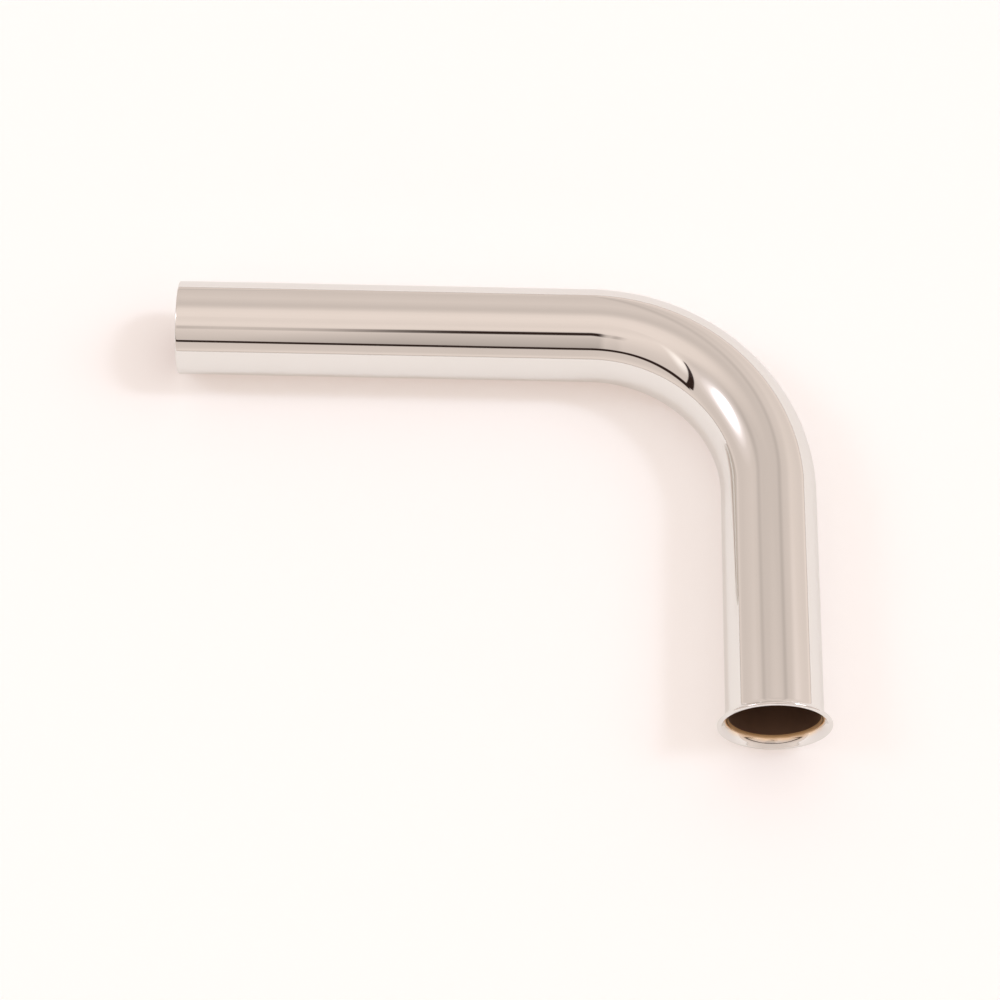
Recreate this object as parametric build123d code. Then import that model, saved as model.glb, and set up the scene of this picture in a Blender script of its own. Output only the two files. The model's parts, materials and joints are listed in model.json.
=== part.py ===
from build123d import *
import math
import os

# A waste pipe bend: a plated brass tube bent through a right angle. One end is cut plain, to slide into a
# compression joint. The other is upset into a flange, which a union nut pulls up against a flat washer.
# The bend lies as it comes to rest: +Z is up and the floor is at Z = 0. The plain leg touches the floor
# all along its underside and the flange touches it with the lowest point of its rim.
# All sizes are in millimetres.

# Driving dimensions
tube_diameter = 32.0      # outside
wall = 1.0
bend_radius = 60.0        # of the tube's centre line
plain_reach = 201.0       # from the cut end to the flanged leg's axis
flange_reach = 145.0      # from the flange's sealing face to the plain leg's axis
flange_width = 2.7        # how far the flange stands out from the tube
flange_thickness = 1.0
mouth_width = 2.4         # how far the mouth has opened out at the sealing face
mouth_angle = 50.0        # degrees, between the mouth's cone and the leg's axis
mouth_blend = 3.8         # round between the waterway and the cone
mouth_round = 0.4         # round between the cone and the sealing face
end_round_share = 0.45    # of the wall, taken off the cut end's outer edge
end_deburr_share = 0.2    # of the wall, taken off the cut end's inner edge

# Sizes that follow from them
outer_radius = tube_diameter / 2
inner_radius = outer_radius - wall
flange_radius = outer_radius + flange_width
rim_round = flange_thickness / 2
back_fillet = flange_width - rim_round    # where the nut's shoulder seats
end_round = wall * end_round_share
end_deburr = wall * end_deburr_share
cone_depth = mouth_width / math.tan(math.radians(mouth_angle))


def plain_leg():
    """The straight tube along X, from the cut end to the start of the bend."""
    length = plain_reach - bend_radius
    middle = Pos(-plain_reach + length / 2, inner_radius + wall / 2)
    section = middle * Rectangle(length, wall)
    end_corners = section.vertices().sort_by(Axis.X)[:2].sort_by(Axis.Y)
    section = fillet(end_corners[-1], end_round)
    inner_corner = section.vertices().sort_by(Axis.Y)[:2].sort_by(Axis.X)[0]
    section = chamfer(inner_corner, end_deburr)
    return revolve(section, Axis.X)


def quarter_bend():
    """The bent tube, turned about an upright axis through the bend's centre."""
    ring = Circle(outer_radius) - Circle(inner_radius)
    start = Plane((-bend_radius, 0, 0), x_dir=(0, 1, 0), z_dir=(1, 0, 0))
    centre_axis = Axis((-bend_radius, -bend_radius, 0), (0, 0, -1))
    return revolve(start * ring, centre_axis, 90)


def flanged_leg():
    """The straight tube along Y, from the end of the bend to the flange's sealing face."""
    face = -flange_reach
    back = face + flange_thickness
    mouth_start = (inner_radius, face + cone_depth)
    mouth_end = (inner_radius + mouth_width, face)
    rim_front = (flange_radius - rim_round, face)
    rim_back = (flange_radius - rim_round, back)
    fillet_end = (outer_radius, back + back_fillet)
    bend_outer = (outer_radius, -bend_radius)
    bend_inner = (inner_radius, -bend_radius)
    outline = [
        Line(bend_inner, mouth_start),
        Line(mouth_start, mouth_end),
        Line(mouth_end, rim_front),
        TangentArc(rim_front, rim_back, tangent=(1, 0)),
        TangentArc(rim_back, fillet_end, tangent=(-1, 0)),
        Line(fillet_end, bend_outer),
        Line(bend_outer, bend_inner),
    ]
    section = make_face(outline)
    for corner, radius in ((mouth_start, mouth_blend), (mouth_end, mouth_round)):
        section = fillet(section.vertices().sort_by_distance(corner)[0], radius)
    return revolve(section, Axis.Y)


def resting_tilt():
    """The turn about the plain leg's axis, in degrees, that sets the flange's rim down on the floor.

    The rim's back edge is round, so it is a circle of rim_round centres that stands that far off the floor.
    """
    core_reach = flange_reach - flange_thickness + rim_round
    core_radius = flange_radius - rim_round
    rise = math.atan2(core_radius, core_reach)
    floor_angle = math.asin((outer_radius - rim_round) / math.hypot(core_radius, core_reach))
    return math.degrees(rise - floor_angle)


def pipe_bend():
    """The whole bend at rest, with its origin on the floor under the middle of its box."""
    tube = plain_leg() + quarter_bend() + flanged_leg()
    resting = Rot(-resting_tilt(), 0, 0) * tube
    box = resting.bounding_box()
    return Pos(-box.center().X, -box.center().Y, outer_radius) * resting


os.makedirs("parts", exist_ok=True)
bend = pipe_bend()
bend.label = "pipe_bend"
export_step(bend, "parts/pipe_bend.step")
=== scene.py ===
import json
import math

import bmesh
import bpy
from mathutils import Matrix, Quaternion, Vector


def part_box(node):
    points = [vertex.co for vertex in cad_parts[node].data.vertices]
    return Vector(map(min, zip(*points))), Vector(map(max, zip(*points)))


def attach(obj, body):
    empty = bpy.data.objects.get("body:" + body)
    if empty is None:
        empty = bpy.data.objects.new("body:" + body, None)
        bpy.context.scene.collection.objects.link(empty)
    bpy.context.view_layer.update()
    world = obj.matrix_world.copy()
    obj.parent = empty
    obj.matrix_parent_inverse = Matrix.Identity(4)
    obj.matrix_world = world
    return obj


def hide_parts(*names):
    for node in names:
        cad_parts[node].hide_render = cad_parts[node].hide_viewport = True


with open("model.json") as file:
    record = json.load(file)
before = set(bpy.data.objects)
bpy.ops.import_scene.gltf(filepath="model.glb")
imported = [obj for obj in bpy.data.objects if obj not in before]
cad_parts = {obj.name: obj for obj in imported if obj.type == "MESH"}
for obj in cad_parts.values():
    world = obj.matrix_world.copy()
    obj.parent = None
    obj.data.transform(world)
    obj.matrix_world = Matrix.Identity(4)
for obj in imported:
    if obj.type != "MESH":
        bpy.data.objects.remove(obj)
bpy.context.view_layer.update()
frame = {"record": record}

# Sizes of the pipe in metres, as in the part's source
MM = 0.001
TUBE_RADIUS = 16.0 * MM
WALL = 1.0 * MM
BEND_RADIUS = 60.0 * MM
PLAIN_REACH = 201.0 * MM
FLANGE_REACH = 145.0 * MM
FLANGE_WIDTH = 2.7 * MM
FLANGE_THICKNESS = 1.0 * MM
MOUTH_WIDTH = 2.4 * MM
MOUTH_ANGLE = math.radians(50.0)
MOUTH_BLEND = 3.8 * MM
MOUTH_ROUND = 0.4 * MM
END_ROUND = 0.45 * MM
END_DEBURR = 0.2 * MM
BORE_RADIUS = TUBE_RADIUS - WALL
FLANGE_RADIUS = TUBE_RADIUS + FLANGE_WIDTH
RIM_ROUND = FLANGE_THICKNESS / 2
MOUTH_DEPTH = MOUTH_WIDTH / math.tan(MOUTH_ANGLE) + MOUTH_BLEND * math.tan(MOUTH_ANGLE / 2)

# How finely the pipe is drawn
AROUND = 160
BEND_STEPS = 96
KEEP = 0.25 * MM      # rings this far from a curve keep the flat beside it flat
INWARD = 0.1          # faces that turn to the axis by more than this share belong to the inside

# The camera, in metres, as it stood for the photograph
CAMERA_PLACE = (-0.00177, -0.45452, 0.92573)
CAMERA_AIM = (0.00135, 0.00082, 0.016)
CAMERA_ROLL = math.radians(1.498)
CAMERA_LENS = 109.54
CAMERA_SENSOR = 36.0


# Finishes: sRGB colours, and sizes in millimetres
CHROME_CLEAR = "#E6E5E2"
CHROME_HAZY = "#E3E2DE"
BRASS_GLOW = "#EECB9B"
CHROME_EDGE = 0.91        # chrome mirrors a little less at grazing angles than most metals do
BRASS_DULL = "#A98C77"
BRASS_STAIN = "#836856"
PAPER = "#D7E7EB"
PAPER_WARMTH = "#FFD5C5"
PAPER_LIFT = 0.36         # light that the camera and the metal see added to the lit paper
HAZE_PATCH = 30.0
BUFFING_RING = 0.9        # coarser than real buffing marks, so that they show
WALL_WAVE = 15.0

# The light tent, in degrees: azimuth from the front towards the right, elevation up from the floor
# Each lamp: its azimuth, the height of its glow on the cloth, the height of the bulb behind it, and the bulb's strength
LAMPS = ((-94.2, 40.4, 46.0, 6.0), (96.0, 41.0, 51.0, 33.0))
LAMP_COLOUR = (1.05, 1.0, 1.1)
GLOW_STRENGTH = 3.0
GLOW_FADE = ((0, 1.0), (6, 0.93), (8.5, 0.53), (10, 0.2), (13, 0.09), (17, 0.027), (24, 0.0))
BULB_FADE = ((0, 1.0), (2, 0.8), (4, 0.3), (6, 0.05), (8, 0.0))
CLOTH_COLOUR = (1.15, 0.99, 0.912)
WALL_TONES = ((0, 0.87), (10, 0.89), (18, 0.85), (24, 0.74), (29, 0.67), (34, 0.66), (42, 0.70), (52, 0.74), (62, 0.72),
              (75, 0.69), (82, 0.70), (86, 0.78), (88.5, 0.75), (90, 0.45))
FLAP_TONES = ((0, 0.86), (10, 0.83), (20, 0.88), (31, 0.83), (43, 0.76), (55, 0.71), (70, 0.69), (78, 0.72), (86, 0.83),
              (88.5, 0.78), (90, 0.5))
SHADE_TONES = ((0, 0.86), (10, 0.82), (18, 0.86), (30, 0.72), (37, 0.62), (46, 0.57), (52, 0.53), (60, 0.47), (68, 0.70),
               (80, 0.71), (87, 0.86), (90, 0.5))
SHADE_REACH = ((-18, 0.0), (-14, 0.3), (-6.5, 0.22), (-2.5, 1.0), (17, 1.0), (23, 0.0))    # by azimuth
ROOF_SEAMS = (-29.5, 21.5)    # sideways from overhead
SEAM_WIDTH = 8.0
SEAM_SHADE = 0.14         # of the cloth's brightness
HEM_HEIGHT = 26.9
HEM_LEVEL = 18.0          # azimuth up to which the hem is level
HEM_SAG = 0.338           # how fast it falls beyond that, in radians for each radian squared
GAP_DARK = 2.6            # from the gap's middle to where it stops being dark
GAP_EDGE = 4.2            # and to where the cloth is bright again
GAP_COLOUR = (0.036, 0.020, 0.016)
HOLE_TURN = 27.2          # forward from overhead
HOLE_HEIGHT = 4.2
HOLE_SLANT = 0.5          # how fast its dark leans forward towards the left
HOLE_SLANT_END = -0.05    # sideways part of the direction at which that stops
# How dark the hole is from left to right, by the sideways part of the direction: a faint shadow trails off its left
HOLE_DARKNESS = ((-0.20, 0.0), (-0.17, 0.14), (-0.144, 0.32), (-0.12, 0.36), (-0.09, 0.2), (-0.063, 0.3),
                 (-0.05, 0.45), (-0.035, 0.7), (-0.02, 0.94), (-0.01, 1.0), (0.05, 1.0), (0.08, 0.0))


def linear(hex_colour):
    """Turns an sRGB hex colour into a linear RGBA one."""
    channels = [int(hex_colour[i:i + 2], 16) / 255 for i in (1, 3, 5)]
    return [c / 12.92 if c <= 0.04045 else ((c + 0.055) / 1.055) ** 2.4 for c in channels] + [1.0]


def add_node(tree, kind, settings, inputs):
    """Adds a node. An input is given by name or number, as a value or as the output that feeds it.

    The setting called stops fills a colour ramp from its first end to its last.
    """
    node = tree.nodes.new(kind)
    for name, value in settings.items():
        if name == "stops":
            for place, colour in value[1:-1]:
                node.color_ramp.elements.new(place)
            for stop, (place, colour) in zip(node.color_ramp.elements, value):
                stop.color = (*colour, 1)
        else:
            setattr(node, name, value)
    for name, value in inputs.items():
        if isinstance(value, bpy.types.NodeSocket):
            tree.links.new(value, node.inputs[name])
        else:
            node.inputs[name].default_value = value
    return node


# The pipe's shape

def drawn_to(shape, corner, across, along):
    """Draws the wall's line on to a point, by its distance from the leg's axis and its place along the leg."""
    step = bmesh.ops.extrude_vert_indiv(shape, verts=[corner])
    step["verts"][0].co = (across, along, 0)
    return step["verts"][0]


def curved_round(shape, corner, across, along, angle, steps):
    """Draws the wall's line on in an arc about a point."""
    sweep = bmesh.ops.spin(shape, geom=[corner], cent=(across, along, 0), axis=(0, 0, 1), angle=angle, steps=steps)
    return [part for part in sweep["geom_last"] if isinstance(part, bmesh.types.BMVert)][0]


def flanged_leg(shape):
    """The leg with the flared mouth and the flange: its wall's line, from the waterway round to the outside, spun."""
    face = -FLANGE_REACH
    back = face + FLANGE_THICKNESS
    flange_start = FLANGE_RADIUS - RIM_ROUND
    back_fillet = flange_start - TUBE_RADIUS
    edge_turn = math.pi / 2 - MOUTH_ANGLE
    edge_centre = BORE_RADIUS + MOUTH_WIDTH + MOUTH_ROUND * math.tan(edge_turn / 2)
    cone_end = Vector((edge_centre - MOUTH_ROUND * math.cos(MOUTH_ANGLE),
                       face + MOUTH_ROUND * (1 - math.sin(MOUTH_ANGLE))))

    corner = shape.verts.new((BORE_RADIUS, -BEND_RADIUS, 0))
    corner = drawn_to(shape, corner, BORE_RADIUS, face + MOUTH_DEPTH + KEEP)
    corner = drawn_to(shape, corner, BORE_RADIUS, face + MOUTH_DEPTH)
    corner = curved_round(shape, corner, BORE_RADIUS + MOUTH_BLEND, face + MOUTH_DEPTH, MOUTH_ANGLE, 24)
    cone_start = corner.co.xy
    cone_length = (cone_end - cone_start).length
    for distance in (KEEP, cone_length - KEEP, cone_length):
        corner = drawn_to(shape, corner, *cone_start.lerp(cone_end, distance / cone_length))
    corner = curved_round(shape, corner, edge_centre, face + MOUTH_ROUND, edge_turn, 8)
    corner = drawn_to(shape, corner, (edge_centre + flange_start) / 2, face)
    corner = drawn_to(shape, corner, flange_start, face)
    corner = curved_round(shape, corner, flange_start, face + RIM_ROUND, math.pi, 14)
    corner = curved_round(shape, corner, flange_start, back + back_fillet, -math.pi / 2, 14)
    corner = drawn_to(shape, corner, TUBE_RADIUS, back + back_fillet + KEEP)
    corner = drawn_to(shape, corner, TUBE_RADIUS, -BEND_RADIUS - KEEP)
    drawn_to(shape, corner, TUBE_RADIUS, -BEND_RADIUS)
    bmesh.ops.spin(shape, geom=shape.verts[:] + shape.edges[:], cent=(0, 0, 0), axis=(0, 1, 0), angle=2 * math.pi,
                   steps=AROUND, use_merge=True)


def bend(shape):
    """The bend: the leg's two end rings, swept a quarter turn about the bend's centre. Gives the last rings."""
    rings = [edge for edge in shape.edges if all(abs(v.co.y + BEND_RADIUS) < KEEP / 10 for v in edge.verts)]
    ring_corners = list({v for edge in rings for v in edge.verts})
    sweep = bmesh.ops.spin(shape, geom=rings + ring_corners, cent=(-BEND_RADIUS, -BEND_RADIUS, 0), axis=(0, 0, 1),
                           angle=math.pi / 2, steps=BEND_STEPS)
    return [part for part in sweep["geom_last"] if isinstance(part, bmesh.types.BMEdge)]


def plain_leg(shape, rings):
    """The plain leg: both rings drawn out to the cut end, joined there, and the end's edges eased."""
    straight = PLAIN_REACH - BEND_RADIUS
    for length in (KEEP, straight - END_ROUND - 2 * KEEP, END_ROUND + KEEP):
        step = bmesh.ops.extrude_edge_only(shape, edges=rings)["geom"]
        corners = [part for part in step if isinstance(part, bmesh.types.BMVert)]
        rings = [part for part in step if isinstance(part, bmesh.types.BMEdge)]
        bmesh.ops.translate(shape, verts=corners, vec=(-length, 0, 0))
    bmesh.ops.bridge_loops(shape, edges=rings)
    middle = (TUBE_RADIUS + BORE_RADIUS) / 2
    for outside, width, steps in ((True, END_ROUND, 8), (False, END_DEBURR, 2)):
        ends = [edge for edge in shape.edges
                if all(v.co.x < -PLAIN_REACH + KEEP / 10 for v in edge.verts)
                and all((v.co.yz.length > middle) == outside for v in edge.verts)]
        bmesh.ops.bevel(shape, geom=ends, offset=width, segments=steps, profile=0.5, affect="EDGES", material=-1)


def nearest_axis(point):
    """Where a point of the pipe is nearest to the pipe's centre line, and how far along that line from the flange."""
    leg = FLANGE_REACH - BEND_RADIUS
    if point.y < -BEND_RADIUS:
        return Vector((0, point.y, 0)), point.y + FLANGE_REACH
    if point.x < -BEND_RADIUS:
        return Vector((point.x, 0, 0)), leg + BEND_RADIUS * math.pi / 2 - point.x - BEND_RADIUS
    centre = Vector((-BEND_RADIUS, -BEND_RADIUS, 0))
    out = Vector((point.x, point.y, 0)) - centre
    turn = math.atan2(out.y, out.x)
    return centre + out.normalized() * BEND_RADIUS, leg + BEND_RADIUS * turn


def pipe_bend():
    """The whole pipe, laid where the CAD part lies."""
    shape = bmesh.new()
    flanged_leg(shape)
    plain_leg(shape, bend(shape))
    bmesh.ops.remove_doubles(shape, verts=shape.verts[:], dist=0.001 * MM)
    bmesh.ops.recalc_face_normals(shape, faces=shape.faces[:])
    along = shape.verts.layers.float.new("along_pipe")
    for corner in shape.verts:
        corner[along] = nearest_axis(corner.co)[1]
    for face in shape.faces:
        face.smooth = True
        middle = face.calc_center_median()
        axis_point, distance = nearest_axis(middle)
        if face.normal.dot((middle - axis_point).normalized()) < -INWARD:
            face.material_index = 1 if distance < MOUTH_DEPTH else 2
    mounts = {mount["name"]: mount for mount in frame["record"]["mounts"]}
    lean = math.asin(mounts["flange_face"]["axis"][2])
    low_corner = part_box("pipe_bend")[0]
    plain_axis = mounts["plain_end"]["pos_m"]
    place = Vector((low_corner[0] + PLAIN_REACH, plain_axis[1], plain_axis[2]))
    shape.transform(Matrix.Translation(place) @ Matrix.Rotation(-lean, 4, "X"))
    mesh = bpy.data.meshes.new("pipe")
    shape.to_mesh(mesh)
    shape.free()
    piece = bpy.data.objects.new("pipe", mesh)
    bpy.context.scene.collection.objects.link(piece)
    return piece


# Materials

def polished_chrome():
    """Bright chrome plate on a brass tube that was drawn, bent and buffed.

    The eye gets a clear mirror. Its reflections waver a little, as the tube's wall does, the buffing wheel has left
    faint rings round the tube, and handling has left patches of haze.
    """
    material = bpy.data.materials.new("polished_chrome_plate")
    material.use_nodes = True
    tree = material.node_tree
    shader = tree.nodes["Principled BSDF"]
    place = add_node(tree, "ShaderNodeTexCoord", {}, {}).outputs["Object"]
    along = add_node(tree, "ShaderNodeAttribute", {"attribute_name": "along_pipe"}, {}).outputs["Fac"]

    haze = add_node(tree, "ShaderNodeTexNoise", {}, {"Vector": place, "Scale": 1 / (HAZE_PATCH * MM), "Detail": 4.0})
    roughness = add_node(tree, "ShaderNodeMapRange", {}, {0: haze.outputs[0], 1: 0.35, 2: 0.75, 3: 0.02, 4: 0.055})
    tone = add_node(tree, "ShaderNodeMix", {"data_type": "RGBA"},
                    {0: haze.outputs[0], 6: linear(CHROME_CLEAR), 7: linear(CHROME_HAZY)})

    ring_place = add_node(tree, "ShaderNodeMath", {"operation": "DIVIDE"}, {0: along, 1: BUFFING_RING * MM})
    rings = add_node(tree, "ShaderNodeTexNoise", {"noise_dimensions": "1D"}, {"W": ring_place.outputs[0], "Detail": 2.0})
    waves = add_node(tree, "ShaderNodeTexNoise", {}, {"Vector": place, "Scale": 1 / (WALL_WAVE * MM), "Detail": 0.0})
    ring_bump = add_node(tree, "ShaderNodeBump", {}, {"Height": rings.outputs[0], "Distance": 0.0002 * MM})
    wave_bump = add_node(tree, "ShaderNodeBump", {}, {"Height": waves.outputs[0], "Distance": 0.012 * MM,
                                                      "Normal": ring_bump.outputs[0]})

    shader.inputs["Metallic"].default_value = 1.0
    shader.inputs["Specular Tint"].default_value = (CHROME_EDGE, CHROME_EDGE, CHROME_EDGE, 1)
    tree.links.new(tone.outputs[2], shader.inputs["Base Color"])
    tree.links.new(roughness.outputs[0], shader.inputs["Roughness"])
    tree.links.new(wave_bump.outputs[0], shader.inputs["Normal"])
    return material


def thin_plate():
    """The mouth, where the chrome plate thins out towards the waterway and the brass glows through it.

    It is a mirror near the flange's face. The buffing wheel didn't reach further in, and there it is satin.
    """
    material = bpy.data.materials.new("thin_chrome_over_brass")
    material.use_nodes = True
    tree = material.node_tree
    shader = tree.nodes["Principled BSDF"]
    place = add_node(tree, "ShaderNodeTexCoord", {}, {}).outputs["Object"]
    along = add_node(tree, "ShaderNodeAttribute", {"attribute_name": "along_pipe"}, {}).outputs["Fac"]
    patches = add_node(tree, "ShaderNodeTexNoise", {}, {"Vector": place, "Scale": 1 / (3 * MM), "Detail": 3.0})
    uneven = add_node(tree, "ShaderNodeMath", {"operation": "MULTIPLY_ADD"},
                      {0: patches.outputs[0], 1: 0.8 * MM, 2: along})
    bare = add_node(tree, "ShaderNodeMapRange", {"interpolation_type": "SMOOTHSTEP"},
                    {0: uneven.outputs[0], 1: 1.2 * MM, 2: MOUTH_DEPTH, 3: 0.0, 4: 1.0})
    tone = add_node(tree, "ShaderNodeMix", {"data_type": "RGBA"},
                    {0: bare.outputs[0], 6: linear(CHROME_CLEAR), 7: linear(BRASS_GLOW)})
    roughness = add_node(tree, "ShaderNodeMapRange", {}, {0: bare.outputs[0], 1: 0.5, 3: 0.08, 4: 0.6})
    shader.inputs["Metallic"].default_value = 1.0
    tree.links.new(tone.outputs[2], shader.inputs["Base Color"])
    tree.links.new(roughness.outputs[0], shader.inputs["Roughness"])
    return material


def dull_brass():
    """The waterway: bare brass as it was drawn, matt and stained brown, so it gives back little light."""
    material = bpy.data.materials.new("drawn_brass_bore")
    material.use_nodes = True
    tree = material.node_tree
    shader = tree.nodes["Principled BSDF"]
    place = add_node(tree, "ShaderNodeTexCoord", {}, {}).outputs["Object"]
    stains = add_node(tree, "ShaderNodeTexNoise", {}, {"Vector": place, "Scale": 1 / (12 * MM), "Detail": 4.0})
    tone = add_node(tree, "ShaderNodeMix", {"data_type": "RGBA"},
                    {0: stains.outputs[0], 6: linear(BRASS_DULL), 7: linear(BRASS_STAIN)})
    roughness = add_node(tree, "ShaderNodeMapRange", {}, {0: stains.outputs[0], 1: 0.3, 2: 0.7, 3: 0.5, 4: 0.65})
    shader.inputs["Metallic"].default_value = 1.0
    tree.links.new(tone.outputs[2], shader.inputs["Base Color"])
    tree.links.new(roughness.outputs[0], shader.inputs["Roughness"])
    return material


def white_paper():
    """Matt white paper, cool from its brightener. The camera and the metal see warm light added to it.

    The added light keeps its shadows pale and warm.
    """
    material = bpy.data.materials.new("matt_white_paper")
    material.use_nodes = True
    tree = material.node_tree
    shader = tree.nodes["Principled BSDF"]
    path = add_node(tree, "ShaderNodeLightPath", {}, {}).outputs
    seen = add_node(tree, "ShaderNodeMath", {"operation": "MAXIMUM"},
                    {0: path["Is Camera Ray"], 1: path["Is Glossy Ray"]}).outputs[0]
    seen = add_node(tree, "ShaderNodeMath", {"operation": "MAXIMUM"},
                    {0: seen, 1: path["Is Transmission Ray"]}).outputs[0]
    lift = add_node(tree, "ShaderNodeMath", {"operation": "MULTIPLY"}, {0: seen, 1: PAPER_LIFT}).outputs[0]
    shader.inputs["Base Color"].default_value = linear(PAPER)
    shader.inputs["Roughness"].default_value = 0.9
    shader.inputs["Specular IOR Level"].default_value = 0.1
    shader.inputs["Emission Color"].default_value = linear(PAPER_WARMTH)
    tree.links.new(lift, shader.inputs["Emission Strength"])
    return material


# The studio

def paper_floor():
    shape = bmesh.new()
    bmesh.ops.create_circle(shape, cap_ends=True, radius=5.0, segments=96)
    mesh = bpy.data.meshes.new("floor")
    shape.to_mesh(mesh)
    shape.free()
    floor = bpy.data.objects.new("floor", mesh)
    floor.data.materials.append(white_paper())
    bpy.context.scene.collection.objects.link(floor)


def studio_camera():
    camera = bpy.data.cameras.new("camera")
    camera.lens = CAMERA_LENS
    camera.sensor_width = CAMERA_SENSOR
    stand = bpy.data.objects.new("camera", camera)
    level = (Vector(CAMERA_AIM) - Vector(CAMERA_PLACE)).to_track_quat("-Z", "Y")
    stand.matrix_world = Matrix.LocRotScale(Vector(CAMERA_PLACE), level @ Quaternion((0, 0, 1), CAMERA_ROLL), None)
    bpy.context.scene.collection.objects.link(stand)
    bpy.context.scene.camera = stand


def light_tent():
    """A white cloth tent lit from outside by two lamps, with dark gaps round its front flap and the camera's hole."""
    world = bpy.data.worlds.new("light_tent")
    world.use_nodes = True
    bpy.context.scene.world = world
    tree = world.node_tree
    rad = math.radians
    direction = add_node(tree, "ShaderNodeTexCoord", {}, {}).outputs["Generated"]
    parts = add_node(tree, "ShaderNodeSeparateXYZ", {}, {0: direction}).outputs
    elevation = add_node(tree, "ShaderNodeMath", {"operation": "ARCSINE"}, {0: parts["Z"]}).outputs[0]
    front = add_node(tree, "ShaderNodeMath", {"operation": "MULTIPLY"}, {0: parts["Y"], 1: -1.0}).outputs[0]
    azimuth = add_node(tree, "ShaderNodeMath", {"operation": "ARCTAN2"}, {0: parts["X"], 1: front}).outputs[0]
    side = add_node(tree, "ShaderNodeMath", {"operation": "ABSOLUTE"}, {0: azimuth}).outputs[0]

    # The cloth's brightness from overhead down to the floor: the walls, the front flap, and the flap's shaded middle
    descent = add_node(tree, "ShaderNodeMapRange", {}, {0: elevation, 1: rad(90), 2: 0.0}).outputs[0]
    walls, flap, shade = (
        add_node(tree, "ShaderNodeValToRGB", {"stops": [(turn / 90, [grey] * 3) for turn, grey in tones]},
                 {0: descent}).outputs[0]
        for tones in (WALL_TONES, FLAP_TONES, SHADE_TONES))
    to_flap = add_node(tree, "ShaderNodeMapRange", {"interpolation_type": "SMOOTHSTEP"},
                       {0: side, 1: rad(62), 2: rad(80), 3: 1.0, 4: 0.0}).outputs[0]
    left, right = SHADE_REACH[0][0], SHADE_REACH[-1][0]
    sideways = add_node(tree, "ShaderNodeMapRange", {}, {0: azimuth, 1: rad(left), 2: rad(right)}).outputs[0]
    stops = [((turn - left) / (right - left), [share] * 3) for turn, share in SHADE_REACH]
    to_shade = add_node(tree, "ShaderNodeValToRGB", {"stops": stops}, {0: sideways}).outputs[0]
    flap = add_node(tree, "ShaderNodeMix", {"data_type": "RGBA"}, {0: to_shade, 6: flap, 7: shade}).outputs[2]
    cloth = add_node(tree, "ShaderNodeMix", {"data_type": "RGBA"}, {0: to_flap, 6: walls, 7: flap}).outputs[2]
    cloth = add_node(tree, "ShaderNodeVectorMath", {"operation": "MULTIPLY"}, {0: cloth, 1: CLOTH_COLOUR}).outputs[0]

    # The roof's two seams, behind the flap, and the roof's right side, which the stronger lamp makes lighter
    behind = add_node(tree, "ShaderNodeMapRange", {"interpolation_type": "SMOOTHSTEP"},
                      {0: parts["Y"], 1: 0.05, 2: 0.3}).outputs[0]
    across = add_node(tree, "ShaderNodeMath", {"operation": "ARCTAN2"}, {0: parts["X"], 1: parts["Z"]}).outputs[0]
    change = add_node(tree, "ShaderNodeMapRange", {"interpolation_type": "SMOOTHSTEP"},
                      {0: across, 1: rad(38), 2: rad(52), 3: 0.0, 4: 0.11}).outputs[0]
    for seam in ROOF_SEAMS:
        beside = add_node(tree, "ShaderNodeMath", {"operation": "SUBTRACT"}, {0: across, 1: rad(seam)}).outputs[0]
        beside = add_node(tree, "ShaderNodeMath", {"operation": "ABSOLUTE"}, {0: beside}).outputs[0]
        shadow = add_node(tree, "ShaderNodeMapRange", {"interpolation_type": "SMOOTHSTEP"},
                          {0: beside, 1: 0.0, 2: rad(SEAM_WIDTH), 3: -SEAM_SHADE, 4: 0.0}).outputs[0]
        change = add_node(tree, "ShaderNodeMath", {"operation": "ADD"}, {0: change, 1: shadow}).outputs[0]
    change = add_node(tree, "ShaderNodeMath", {"operation": "MULTIPLY_ADD"}, {0: change, 1: behind, 2: 1.0}).outputs[0]
    cloth = add_node(tree, "ShaderNodeVectorMath", {"operation": "SCALE"}, {0: cloth, "Scale": change}).outputs[0]

    # The gap under the flap's hem, which hangs lower towards its ends
    beyond = add_node(tree, "ShaderNodeMath", {"operation": "SUBTRACT"}, {0: side, 1: rad(HEM_LEVEL)}).outputs[0]
    beyond = add_node(tree, "ShaderNodeMath", {"operation": "MAXIMUM"}, {0: beyond, 1: 0.0}).outputs[0]
    sag = add_node(tree, "ShaderNodeMath", {"operation": "MULTIPLY"}, {0: beyond, 1: beyond}).outputs[0]
    hem = add_node(tree, "ShaderNodeMath", {"operation": "MULTIPLY_ADD"}, {0: sag, 1: -HEM_SAG, 2: rad(HEM_HEIGHT)}).outputs[0]
    away = add_node(tree, "ShaderNodeMath", {"operation": "SUBTRACT"}, {0: elevation, 1: hem}).outputs[0]
    away = add_node(tree, "ShaderNodeMath", {"operation": "ABSOLUTE"}, {0: away}).outputs[0]
    narrow = add_node(tree, "ShaderNodeMapRange", {},
                      {0: side, 1: rad(HEM_LEVEL), 2: rad(50), 3: 1.28, 4: 0.95}).outputs[0]
    away = add_node(tree, "ShaderNodeMath", {"operation": "MULTIPLY"}, {0: away, 1: narrow}).outputs[0]
    lower_gap = add_node(tree, "ShaderNodeMapRange", {"interpolation_type": "SMOOTHSTEP"},
                         {0: away, 1: rad(GAP_DARK), 2: rad(GAP_EDGE), 3: 1.0, 4: 0.0}).outputs[0]
    within = add_node(tree, "ShaderNodeMapRange", {}, {0: side, 1: rad(62), 2: rad(64), 3: 1.0, 4: 0.0}).outputs[0]
    lower_gap = add_node(tree, "ShaderNodeMath", {"operation": "MULTIPLY"}, {0: lower_gap, 1: within}).outputs[0]

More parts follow.
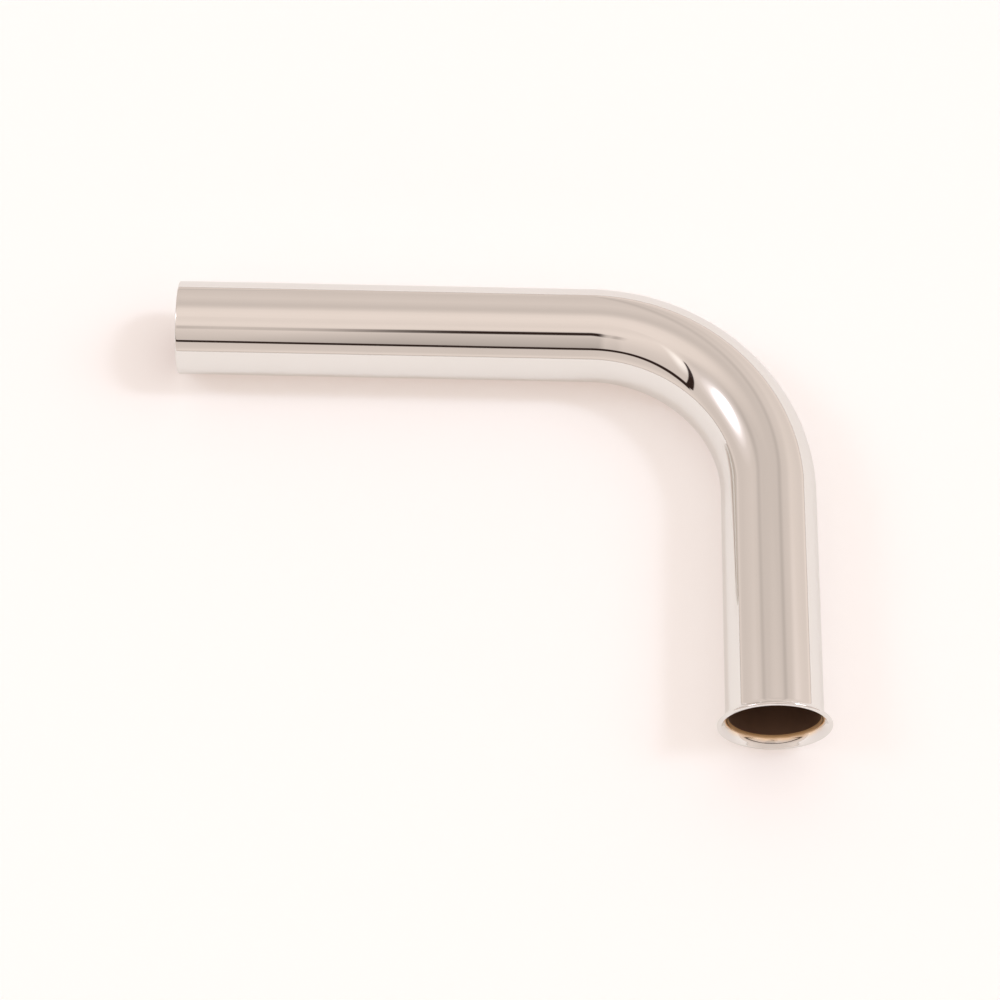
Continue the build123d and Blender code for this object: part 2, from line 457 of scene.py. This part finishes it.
    # The gap up the flap's side, which closes towards the top
    side_edge = add_node(tree, "ShaderNodeMath", {"operation": "MULTIPLY_ADD"},
                         {0: elevation, 1: 0.091, 2: rad(60.8)}).outputs[0]
    off = add_node(tree, "ShaderNodeMath", {"operation": "SUBTRACT"}, {0: side, 1: side_edge}).outputs[0]
    off = add_node(tree, "ShaderNodeMath", {"operation": "ABSOLUTE"}, {0: off}).outputs[0]
    flat = add_node(tree, "ShaderNodeMath", {"operation": "COSINE"}, {0: elevation}).outputs[0]
    off = add_node(tree, "ShaderNodeMath", {"operation": "MULTIPLY"}, {0: off, 1: flat}).outputs[0]
    half = add_node(tree, "ShaderNodeMapRange", {},
                    {0: elevation, 1: rad(59), 2: rad(15), 3: rad(0.4), 4: rad(2.9)}).outputs[0]
    over = add_node(tree, "ShaderNodeMath", {"operation": "SUBTRACT"}, {0: off, 1: half}).outputs[0]
    side_gap = add_node(tree, "ShaderNodeMapRange", {"interpolation_type": "SMOOTHSTEP"},
                        {0: over, 1: rad(-0.4), 2: rad(0.4), 3: 1.0, 4: 0.0}).outputs[0]
    for none, full in ((59.5, 57.0), (14.0, 15.5)):
        reach = add_node(tree, "ShaderNodeMapRange", {}, {0: elevation, 1: rad(none), 2: rad(full)}).outputs[0]
        side_gap = add_node(tree, "ShaderNodeMath", {"operation": "MULTIPLY"}, {0: side_gap, 1: reach}).outputs[0]

    # The camera's hole
    forward = add_node(tree, "ShaderNodeMath", {"operation": "ARCTAN2"}, {0: front, 1: parts["Z"]}).outputs[0]
    forward = add_node(tree, "ShaderNodeMath", {"operation": "SUBTRACT"}, {0: forward, 1: rad(HOLE_TURN)}).outputs[0]
    leaning = add_node(tree, "ShaderNodeMath", {"operation": "MAXIMUM"},
                       {0: parts["X"], 1: HOLE_SLANT_END}).outputs[0]
    forward = add_node(tree, "ShaderNodeMath", {"operation": "MULTIPLY_ADD"},
                       {0: leaning, 1: HOLE_SLANT, 2: forward}).outputs[0]
    forward = add_node(tree, "ShaderNodeMath", {"operation": "ABSOLUTE"}, {0: forward}).outputs[0]
    hole = add_node(tree, "ShaderNodeMapRange", {"interpolation_type": "SMOOTHSTEP"},
                    {0: forward, 1: rad(HOLE_HEIGHT / 2), 2: rad(HOLE_HEIGHT * 1.2), 3: 1.0, 4: 0.0}).outputs[0]
    left, right = HOLE_DARKNESS[0][0], HOLE_DARKNESS[-1][0]
    sideways = add_node(tree, "ShaderNodeMapRange", {}, {0: parts["X"], 1: left, 2: right}).outputs[0]
    stops = [((place - left) / (right - left), [share] * 3) for place, share in HOLE_DARKNESS]
    darkness = add_node(tree, "ShaderNodeValToRGB", {"stops": stops}, {0: sideways}).outputs[0]
    hole = add_node(tree, "ShaderNodeMath", {"operation": "MULTIPLY"}, {0: hole, 1: darkness}).outputs[0]

    # The lamplight that grazes the flap beside its side gap
    from_gap = add_node(tree, "ShaderNodeMath", {"operation": "SUBTRACT"}, {0: side, 1: rad(60)}).outputs[0]
    from_gap = add_node(tree, "ShaderNodeMath", {"operation": "DIVIDE"}, {0: from_gap, 1: rad(9)}).outputs[0]
    from_glow = add_node(tree, "ShaderNodeMath", {"operation": "SUBTRACT"}, {0: elevation, 1: rad(53)}).outputs[0]
    from_glow = add_node(tree, "ShaderNodeMath", {"operation": "DIVIDE"}, {0: from_glow, 1: rad(22)}).outputs[0]
    patch = add_node(tree, "ShaderNodeCombineXYZ", {}, {0: from_gap, 1: from_glow}).outputs[0]
    patch = add_node(tree, "ShaderNodeVectorMath", {"operation": "LENGTH"}, {0: patch}).outputs["Value"]
    glow = add_node(tree, "ShaderNodeMapRange", {"interpolation_type": "SMOOTHSTEP"},
                    {0: patch, 1: 0.0, 2: 1.0, 3: 0.38, 4: 0.0}).outputs[0]
    light = add_node(tree, "ShaderNodeVectorMath", {"operation": "ADD"}, {0: cloth, 1: glow}).outputs[0]

    dark = add_node(tree, "ShaderNodeMath", {"operation": "MAXIMUM"}, {0: lower_gap, 1: side_gap}).outputs[0]
    dark = add_node(tree, "ShaderNodeMath", {"operation": "MAXIMUM"}, {0: dark, 1: hole}).outputs[0]
    light = add_node(tree, "ShaderNodeMix", {"data_type": "RGBA"}, {0: dark, 6: light, 7: (*GAP_COLOUR, 1)}).outputs[2]

    # The two lamps behind the cloth: a wide glow and a small bright bulb each
    patches = []
    for turn, glow_height, bulb_height, bulb_strength in LAMPS:
        patches.append((turn, glow_height, GLOW_STRENGTH, GLOW_FADE))
        patches.append((turn, bulb_height, bulb_strength, BULB_FADE))
    for turn, height, strength, fade in patches:
        level = math.cos(rad(height))
        aim = (math.sin(rad(turn)) * level, -math.cos(rad(turn)) * level, math.sin(rad(height)))
        facing = add_node(tree, "ShaderNodeVectorMath", {"operation": "DOT_PRODUCT"}, {0: direction, 1: aim})
        spread = add_node(tree, "ShaderNodeMath", {"operation": "ARCCOSINE"}, {0: facing.outputs["Value"]}).outputs[0]
        reach = fade[-1][0]
        spread = add_node(tree, "ShaderNodeMapRange", {}, {0: spread, 1: 0.0, 2: rad(reach)}).outputs[0]
        stops = [(angle / reach, [share * channel / max(LAMP_COLOUR) for channel in LAMP_COLOUR]) for angle, share in fade]
        lamp = add_node(tree, "ShaderNodeValToRGB", {"stops": stops}, {0: spread}).outputs[0]
        lamp = add_node(tree, "ShaderNodeVectorMath", {"operation": "SCALE"},
                        {0: lamp, "Scale": strength * max(LAMP_COLOUR)}).outputs[0]
        light = add_node(tree, "ShaderNodeVectorMath", {"operation": "ADD"}, {0: light, 1: lamp}).outputs[0]
    tree.links.new(light, tree.nodes["Background"].inputs["Color"])


studio_camera()
light_tent()
paper_floor()
pipe = pipe_bend()
for finish in (polished_chrome(), thin_plate(), dull_brass()):
    pipe.data.materials.append(finish)
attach(pipe, "root")
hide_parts("pipe_bend")
bpy.context.scene.view_settings.view_transform = "Standard"
